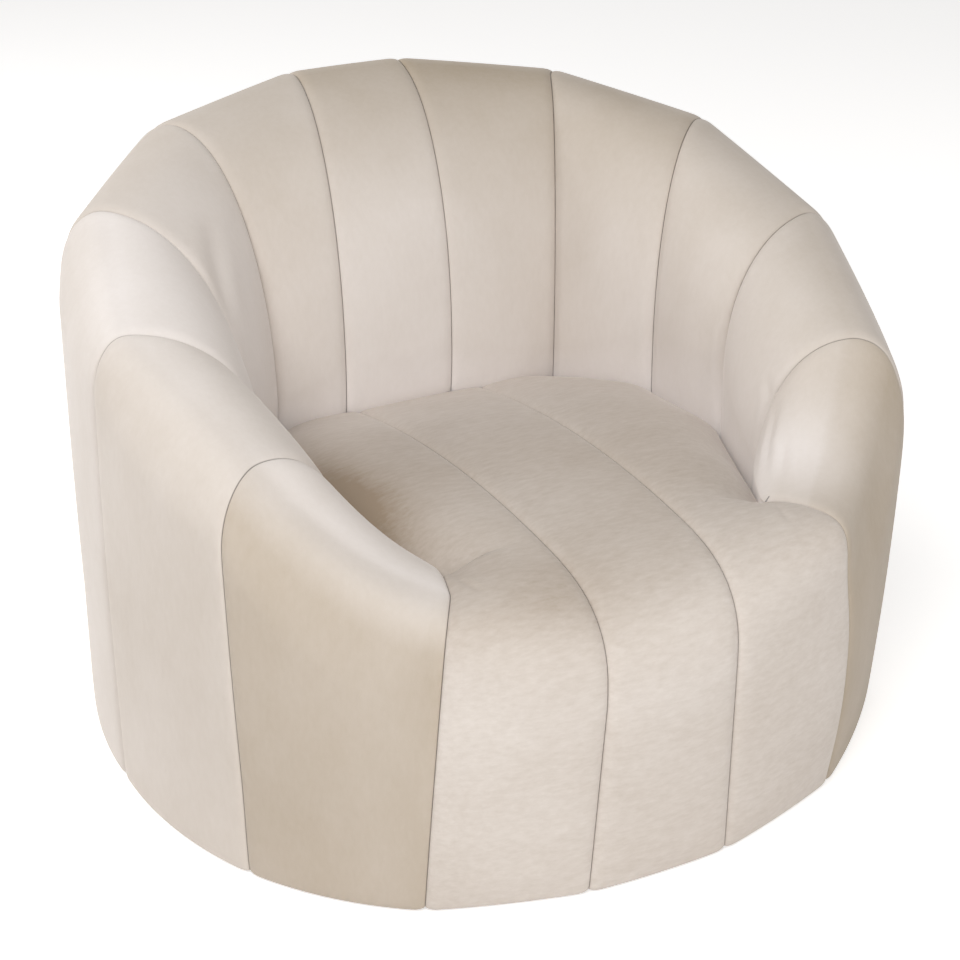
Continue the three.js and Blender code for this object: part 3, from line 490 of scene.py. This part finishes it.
def shellChannel(name, firstEdge, lastEdge, outward, sweep, nodes):
    # the cover of one channel between two seams, each given as its side and its number
    first, last = (seams[side][k] for side, k in (firstEdge, lastEdge))
    facing = [seamFacing[side][k] for side, k in (firstEdge, lastEdge)]
    count = len(first)
    row = np.arange(count)
    wallTop = crownRow - rows["shoulder"]
    flatness = shell["flatness"].get(name, 0)
    straight = np.interp(row, [rows["hem"], wallTop, wallTop + 0.6 * rows["shoulder"]],
                         [flatness, max(shell["wallStraight"], flatness), 1])
    shares = acrossShares(np.linalg.norm(first[crownRow] - last[crownRow]))
    grid = pointsBetween(first, last, shares, straight)
    if sweep != 1:
        bend = 1 - (1 - shares) ** sweep
        grid[..., 2] = first[:, None, 2] * (1 - bend) + last[:, None, 2] * bend
    height = np.interp(row, [rows["flap"], rows["hem"] + 4, wallTop, wallTop + 0.6 * rows["shoulder"]],
                       np.array([0, 1, 1, 0]) * shell["puffOutside"] * mm)
    height += np.interp(row, [wallTop, crownRow, rollEndRow], [0, shell["puffCrown"] * mm, 0])
    height += np.interp(row, [rows["hem"] + 0.3 * rows["wall"], wallTop, crownRow],
                        [0, shell["fuller"].get(name, 0) * mm, 0])
    height += np.interp(row, [crownRow, rollEndRow, footRow, count - 1],
                        np.array([0, 1, 0.5, 0.1]) * shell["puffInside"] * mm)
    visible = creased(name, puffed(grid, shares, height, outward, facing), outward)
    thickness = np.interp(row, [0, rows["flap"], rows["hem"]], np.array([0.3, 4, shell["cover"]]) * mm)
    hidden = hiddenGrid(grid, outward, thickness)
    gap = (last - first) / np.linalg.norm(last - first, axis=1)[:, None] * seamStyle["gap"] / 2 * mm
    visible[:, 0] += gap
    visible[:, -1] -= gap
    hidden[:, 0] = first - gridNormals(grid)[:, 1] * outward * thickness[:, None] + gap
    hidden[:, -1] = last - gridNormals(grid)[:, -2] * outward * thickness[:, None] - gap
    piece = solidFromGrids(name, visible, hidden, shellVelvet)
    # painted light and shade with some of the lie of the pile: darker along the rim, lighter down the inside and
    # lightest low in the hollow, and lighter or darker from channel to channel outside, as light falls there
    elsewhere = shell["napAndPaintedLightElsewhere"]
    high, middle, low = shell["insideNapAndPaintedLight"]
    middle += shell["middleNapAndPaintedLight"].get(name, 0)
    high += shell["middleNapAndPaintedLight"].get(name, 0)
    inside = np.interp(row, [crownRow - 14, crownRow + 2, rollEndRow - 25, rollEndRow, footRow],
                       [0, shell["rimNapAndPaintedLight"].get(name, elsewhere["rim"]), high, middle, low])
    outside = np.interp(row, [crownRow - 13, crownRow + 6],
                        [shell["outsideNapAndPaintedLight"].get(name, elsewhere["outside"]), 0])
    tone = velvetLook["shell"]["tone"] + inside + outside
    writeCoverNumbers(piece, visible, tone[:, None] + napAndPaintedLightTone("shell", visible, outward))
    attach(piece, "root")
    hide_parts(*nodes)


for sideName, side in (("right", 1), ("left", -1)):
    for k in range(1, lastSeam + 1):
        sweep = shell["armSweep"] if k == 1 else 1
        label = f"{sideName}_{k}"
        shellChannel(f"velvet_channel_{label}", (side, k), (side, k - 1), side,
                     sweep, [f"outer_panel_{label}", f"inner_pad_{label}"])
shellChannel("velvet_channel_back", (-1, lastSeam), (1, lastSeam), 1, 1, ["outer_panel_back", "inner_pad_back"])
print("shell channels made")

# Seat: the lines of its seams and of its edge share their rows, so that a channel is a sheet between two of them
seat = {
    "seamHem": 89.8,
    "seamFront": 80.8,
    "seamBack": 90.3,
    "reach": 505,
    "baseInset": 10,
    "peakY": -346,
    "backY": 185.9,
    "crown": 388,
    "fall": 83,
    "noseDrop": 123,
    "noseRound": 3,
    "flapEnd": 397,
    "edgeRoll": 3.6,
    "pinchDip": 9,
    "pinchSize": 34,
    "pinchEdge": 7,
    "puffApron": 9,
    "puffTop": 6,
    "under": 26,
    "tuck": 60,
    "edgeGap": 1.5,
}
seatRows = {"hem": 14, "wall": 50, "nose": 50, "top": 100, "tuck": 6}
facingRounds = 20


def seatSeamLine(side):
    reach, base = seat["reach"], seat["reach"] - seat["baseInset"]
    wallFoot = shell["hemHeight"] + shell["hemRadius"]
    noseFoot = seat["crown"] - seat["noseDrop"]
    parts = [hemProfile(seat["flapEnd"], base) * [-1, 1]]
    t = np.linspace(0, 1, seatRows["wall"] + 1)[1:]
    parts.append(np.stack([-base + (base - reach) * t, wallFoot + (noseFoot - wallFoot) * t], axis=1))
    along, up = superQuarter(300, seat["noseRound"])
    nose = np.stack([-reach + (seat["peakY"] + reach) * up, noseFoot + seat["noseDrop"] * along], axis=1)
    parts.append(spread(nose, seatRows["nose"] + 1)[1:])
    t = np.linspace(0, 1, seatRows["top"] + 1)[1:]
    topY = seat["peakY"] + (seat["backY"] - seat["peakY"]) * t
    parts.append(np.stack([topY, seat["crown"] - seat["fall"] * t * t], axis=1))
    flat = smoothed(np.concatenate(parts), smoothRounds)
    t = np.linspace(0, 1, seatRows["tuck"] + 1)[1:]
    tuck = np.stack([np.full(len(t), seat["backY"]), flat[-1, 1] - seat["tuck"] * t], axis=1)
    flat = np.concatenate([flat, tuck])
    x = seat["seamFront"] + (seat["seamBack"] - seat["seamFront"]) * (flat[:, 0] + reach) / (seat["backY"] + reach)
    x += (seat["seamHem"] - seat["seamFront"]) * np.clip(1 - flat[:, 1] / noseFoot, 0, 1)
    line = np.stack([side * x, flat[:, 0], flat[:, 1]], axis=1) * mm
    line[:, 1] += shell["middleY"]
    return line, outwardOf(line, np.tile([0.0, -1.0], (len(line), 1)))


def seatEdgeLine(side):
    middle = np.array([0, shell["middleY"], 0])
    corner = seams[side][0]
    hemWall = rows["hem"] + rows["wall"]
    lower = spread(corner[rows["hem"] - 1:hemWall], seatRows["wall"] + 1)[1:]
    hem = corner[:rows["hem"]]
    ear = spread(corner[hemWall - 1:footRow + 1], seatRows["nose"] + 1)[1:]
    feet = np.array([seams[side][k][footRow] for k in range(lastSeam)])
    inward = (feet - middle) * [1, 1, 0]
    feet = feet - inward / np.linalg.norm(inward, axis=1)[:, None] * seat["edgeGap"] * mm
    feet[0] = ear[-1]
    edge = spread(feet, seatRows["top"] + 1)[1:]
    t = np.linspace(0, 1, seatRows["tuck"] + 1)[1:]
    tuck = edge[-1] - np.outer(t, [0, 0, seat["tuck"] * mm])
    line = np.concatenate([hem, lower, ear, edge, tuck])
    # up to the pinch it faces as the arm's front seam does, and behind it the seat's edge faces up
    cornerFacing = seamFacing[side][0]
    nearest = np.linalg.norm(line[:, None, :] - corner[None, :footRow + 1, :], axis=2).argmin(axis=1)
    facing = cornerFacing[nearest]
    past = len(hem) + len(lower) + len(ear)
    facing[past:] = [0, 0, 1]
    facing = smoothed(facing, facingRounds)
    return line, facing / np.linalg.norm(facing, axis=1)[:, None]


def seatChannel(name, firstEdge, lastEdge, rolled, outward, node):
    # the cover of one seat channel, from the hem over the nose to the tuck at the back; a rolled one ends at the arm
    first, last = firstEdge[0], lastEdge[0]
    facing = [firstEdge[1], lastEdge[1]]
    count = len(first)
    row = np.arange(count)
    apron = seatRows["hem"] + seatRows["wall"]
    topStart = apron + seatRows["nose"]
    shares = acrossShares(np.linalg.norm(first[topStart] - last[topStart]))
    grid = pointsBetween(first, last, shares, np.ones(count))
    if rolled:
        past = np.clip((row - topStart + 16) / 40, 0, 1)
        past = past * past * (3 - 2 * past)
        power = 1 + (seat["edgeRoll"] - 1) * past
        drop = shares[None, :] ** power[:, None]
        grid[..., 2] = first[:, None, 2] * (1 - drop) + last[:, None, 2] * drop
    height = np.interp(row, [rows["flap"], seatRows["hem"] + 6, apron, topStart, count - 22, count - 1],
                       np.array([0, seat["puffApron"], seat["puffApron"], seat["puffTop"], seat["puffTop"], 0]) * mm)
    visible = puffed(grid, shares, height, outward, facing)
    if rolled:
        # the seat dips where the arm's front seam ends
        width = np.linalg.norm(grid[:, -1] - grid[:, 0], axis=1)[:, None]
        foot = last[topStart - 1]
        away = np.linalg.norm(visible[..., :2] - foot[:2], axis=2) / (seat["pinchSize"] * mm)
        fromEdge = (1 - shares[None, :]) * width / (seat["pinchEdge"] * mm)
        visible[..., 2] -= seat["pinchDip"] * mm * np.exp(-away ** 2) * (1 - np.exp(-fromEdge ** 2))
    visible = creased(name, visible, outward)
    hidden = hiddenGrid(grid, outward, np.interp(row, [0, rows["flap"], seatRows["hem"] + 4],
                                                 np.array([0.3, 4, seat["under"]]) * mm))
    piece = solidFromGrids(name, visible, hidden, seatVelvet)
    # painted light with some of the lie of the pile: the upright apron is made lighter than the top
    apronNapAndPaintedLight = np.interp(visible[..., 2] / mm, [60, 270, 345, 385], [0.15, 0.2, 0.13, 0])
    writeCoverNumbers(piece, visible, velvetLook["seat"]["tone"] + apronNapAndPaintedLight + napAndPaintedLightTone("seat", visible, outward))
    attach(piece, "root")
    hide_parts(node)


seatChannel("velvet_seat_centre", seatSeamLine(-1), seatSeamLine(1), False, -1, "seat_channel_centre")
seatChannel("velvet_seat_right", seatSeamLine(1), seatEdgeLine(1), True, -1, "seat_channel_right")
seatChannel("velvet_seat_left", seatSeamLine(-1), seatEdgeLine(-1), True, 1, "seat_channel_left")
print("seat channels made")


def plywoodMaterial(look):
    # birch plywood, sawn and sanded: pale faces with long soft grain, and thin dark glue lines on the cut edges
    material, tree = newMaterial("birch plywood")
    place = addNode(tree, "ShaderNodeTexCoord")
    grainPlace = addNode(tree, "ShaderNodeMapping", {"Scale": (1, 0.12, 1)}, {"Vector": place.outputs["Object"]})
    grain = addNode(tree, "ShaderNodeTexNoise",
                    {"Scale": 1 / (look["grain"] * mm), "Detail": 5, "Roughness": 0.6, "Distortion": 0.6},
                    {"Vector": grainPlace.outputs["Vector"]})
    wood = addNode(tree, "ShaderNodeMix", {"A": linearColor(look["light"]), "B": linearColor(look["dark"])},
                   {"Factor": grain.outputs["Fac"]}, data_type="RGBA")
    height = addNode(tree, "ShaderNodeSeparateXYZ", {}, {"Vector": place.outputs["Object"]})
    layer = addNode(tree, "ShaderNodeMath", {1: 1 / (look["ply"] * mm)}, {0: height.outputs["Z"]},
                    operation="MULTIPLY")
    saw = addNode(tree, "ShaderNodeMath", {}, {0: layer.outputs[0]}, operation="FRACT")
    glue = addNode(tree, "ShaderNodeMath", {1: 0.12}, {0: saw.outputs[0]}, operation="LESS_THAN")
    glueShare = addNode(tree, "ShaderNodeMath", {1: 0.35}, {0: glue.outputs[0]}, operation="MULTIPLY")
    mixed = addNode(tree, "ShaderNodeMix", {"B": linearColor(look["glue"])},
                    {"Factor": glueShare.outputs[0], "A": wood.outputs["Result"]}, data_type="RGBA")
    bump = addNode(tree, "ShaderNodeBump", {"Strength": 0.15, "Distance": 0.3 * mm}, {"Height": grain.outputs["Fac"]})
    surface = addNode(tree, "ShaderNodeBsdfPrincipled", {"Roughness": 0.62, "IOR": 1.5},
                      {"Base Color": mixed.outputs["Result"], "Normal": bump.outputs["Normal"]})
    addNode(tree, "ShaderNodeOutputMaterial", {}, {"Surface": surface.outputs["BSDF"]})
    return material


def plainMaterial(name, look):
    # a base colour broken up by a noise of a real size in mm, with the same noise as relief
    material, tree = newMaterial(name)
    place = addNode(tree, "ShaderNodeTexCoord")
    grain = addNode(tree, "ShaderNodeTexNoise", {"Scale": 1 / (look["grain"] * mm), "Detail": 4, "Roughness": 0.65},
                    {"Vector": place.outputs["Object"]})
    tone = addNode(tree, "ShaderNodeMix", {"A": linearColor(look["dark"]), "B": linearColor(look["light"])},
                   {"Factor": grain.outputs["Fac"]}, data_type="RGBA")
    bump = addNode(tree, "ShaderNodeBump", {"Strength": look["bump"], "Distance": look["relief"] * mm},
                   {"Height": grain.outputs["Fac"]})
    surface = addNode(tree, "ShaderNodeBsdfPrincipled",
                      {"Roughness": look["roughness"], "Metallic": look["metallic"], "Sheen Weight": look["sheen"]},
                      {"Base Color": tone.outputs["Result"], "Normal": bump.outputs["Normal"]})
    addNode(tree, "ShaderNodeOutputMaterial", {}, {"Surface": surface.outputs["BSDF"]})
    return material


frameFinish = {
    # sawn and sanded birch ply, 1.5 mm veneers
    "plywood": {"grain": 9, "light": "#dcc39a", "dark": "#b8935f", "glue": "#7a5a38", "ply": 1.5},
    # drawn and oil-tempered spring wire: grey, with a dull shine
    "spring": {"grain": 3, "light": "#8f9296", "dark": "#6d7074", "bump": 0.05, "relief": 0.1, "roughness": 0.38,
               "metallic": 1.0, "sheen": 0.0},
    # needled felt of mixed grey fibres, drawn a little coarser than the fibres are
    "felt": {"grain": 1.2, "light": "#8a857d", "dark": "#55514b", "bump": 0.6, "relief": 0.6, "roughness": 0.95,
             "metallic": 0.0, "sheen": 0.2},
    # spun-bonded polypropylene cloth, black, with the emboss of its bonding points
    "dustCloth": {"grain": 1.0, "light": "#2e2e31", "dark": "#1b1b1d", "bump": 0.5, "relief": 0.2, "roughness": 0.8,
                  "metallic": 0.0, "sheen": 0.1},
    # moulded polypropylene: dark, satin, with a fine moulded grain
    "glide": {"grain": 0.8, "light": "#3f3c3a", "dark": "#312f2d", "bump": 0.12, "relief": 0.1, "roughness": 0.45,
              "metallic": 0.0, "sheen": 0.0},
}
plywood = plywoodMaterial(frameFinish["plywood"])
springSteel = plainMaterial("oil-tempered spring wire", frameFinish["spring"])
needledFelt = plainMaterial("needled grey felt", frameFinish["felt"])
dustCloth = plainMaterial("black spun-bonded dust cloth", frameFinish["dustCloth"])
glidePlastic = plainMaterial("moulded polypropylene of the glides", frameFinish["glide"])
finishOf = {"seat_spring": springSteel, "spring_felt": needledFelt, "dust_cover": dustCloth, "glide": glidePlastic}
woodNodes = ("base_board", "arm_post", "front_board", "rim_rail", "seat_leg", "seat_rail", "shell_rib")
finishOf.update({name: plywood for name in woodNodes})
finished = 0
for cadPiece in bpy.context.scene.objects:
    for start, finish in finishOf.items():
        if cadPiece.type == "MESH" and cadPiece.name.startswith(start):
            if not cadPiece.material_slots:
                cadPiece.data.materials.append(finish)
            for slot in cadPiece.material_slots:
                slot.material = finish
            finished += 1
print("frame pieces finished", finished)

# Studio: a pale floor, soft lamps and a white surround. The camera sees the floor as mostly white with the soft
# shadow of the chair on it
studio = {"floorColor": "#f2f0ee", "floorGlow": 0.53, "floorHalf": 9, "surroundColor": "#f8f7f6", "surround": 0.3,
          "lampSize": 2.0, "lampAim": (0, 0, 0.35)}


def backgroundRay(tree):
    # 1 where the camera, a reflection or a refraction sees the background
    ray = addNode(tree, "ShaderNodeLightPath")
    seen = addNode(tree, "ShaderNodeMath", {}, {0: ray.outputs["Is Camera Ray"], 1: ray.outputs["Is Glossy Ray"]},
                   operation="MAXIMUM")
    return addNode(tree, "ShaderNodeMath", {}, {0: seen.outputs[0], 1: ray.outputs["Is Transmission Ray"]},
                   operation="MAXIMUM").outputs[0]


floorMaterial, floorTree = newMaterial("pale studio floor")
floorSeen = backgroundRay(floorTree)
floorGlow = addNode(floorTree, "ShaderNodeMath", {1: studio["floorGlow"]}, {0: floorSeen}, operation="MULTIPLY")
floorShade = addNode(floorTree, "ShaderNodeBsdfDiffuse", {"Color": linearColor(studio["floorColor"])})
floorWhite = addNode(floorTree, "ShaderNodeEmission", {"Color": (1, 1, 1, 1)}, {"Strength": floorGlow.outputs[0]})
floorBoth = addNode(floorTree, "ShaderNodeAddShader", {}, {0: floorShade.outputs[0], 1: floorWhite.outputs[0]})
addNode(floorTree, "ShaderNodeOutputMaterial", {}, {"Surface": floorBoth.outputs[0]})
floorMesh = bpy.data.meshes.new("studio_floor")
half = studio["floorHalf"]
floorMesh.from_pydata([(-half, -half, 0), (half, -half, 0), (half, half, 0), (-half, half, 0)], [], [(0, 1, 2, 3)])
floorMesh.materials.append(floorMaterial)
floorPiece = bpy.data.objects.new("studio_floor", floorMesh)
bpy.context.scene.collection.objects.link(floorPiece)

world = bpy.data.worlds.new("studio")
bpy.context.scene.world = world
world.use_nodes = True
world.node_tree.nodes.clear()
worldSeen = backgroundRay(world.node_tree)
surround = addNode(world.node_tree, "ShaderNodeBackground",
                   {"Color": linearColor(studio["surroundColor"]), "Strength": studio["surround"]})
seen = addNode(world.node_tree, "ShaderNodeBackground", {"Color": (1, 1, 1, 1), "Strength": 1})
worldMix = addNode(world.node_tree, "ShaderNodeMixShader", {},
                   {0: worldSeen, 1: surround.outputs[0], 2: seen.outputs[0]})
addNode(world.node_tree, "ShaderNodeOutputWorld", {}, {"Surface": worldMix.outputs[0]})

lamps = {
    "key": {"place": (-1.45, -1.45, 2.8), "power": 60},
    "front": {"place": (0, -3.15, 1.0), "power": 33},
    "right": {"place": (3.15, 0, 0.9), "power": 7},
    "behind": {"place": (-2.05, 2.05, 1.7), "power": 40},
}
for lampName, lamp in lamps.items():
    light = bpy.data.lights.new(lampName, "AREA")
    light.energy = lamp["power"]
    light.shape = "DISK"
    light.size = studio["lampSize"]
    lampObject = bpy.data.objects.new(lampName, light)
    lampObject.location = lamp["place"]
    aim = Vector(studio["lampAim"]) - Vector(lamp["place"])
    lampObject.rotation_euler = aim.to_track_quat("-Z", "Y").to_euler()
    bpy.context.scene.collection.objects.link(lampObject)

# Camera: placed and aimed as the photograph, which is square
cameraView = {"lens": 71.343, "place": (-0.90685, -1.95549, 1.46054), "aim": (0.36919, 0.79408, -0.48285)}
cameraData = bpy.data.cameras.new("camera")
cameraData.lens = cameraView["lens"]
cameraData.sensor_width = 36
camera = bpy.data.objects.new("camera", cameraData)
camera.location = Vector(cameraView["place"]) + Vector((0, shell["middleY"], 0))
camera.rotation_euler = Vector(cameraView["aim"]).to_track_quat("-Z", "Y").to_euler()
bpy.context.scene.collection.objects.link(camera)
bpy.context.scene.camera = camera
bpy.context.scene.view_settings.view_transform = "Standard"
print("studio made")
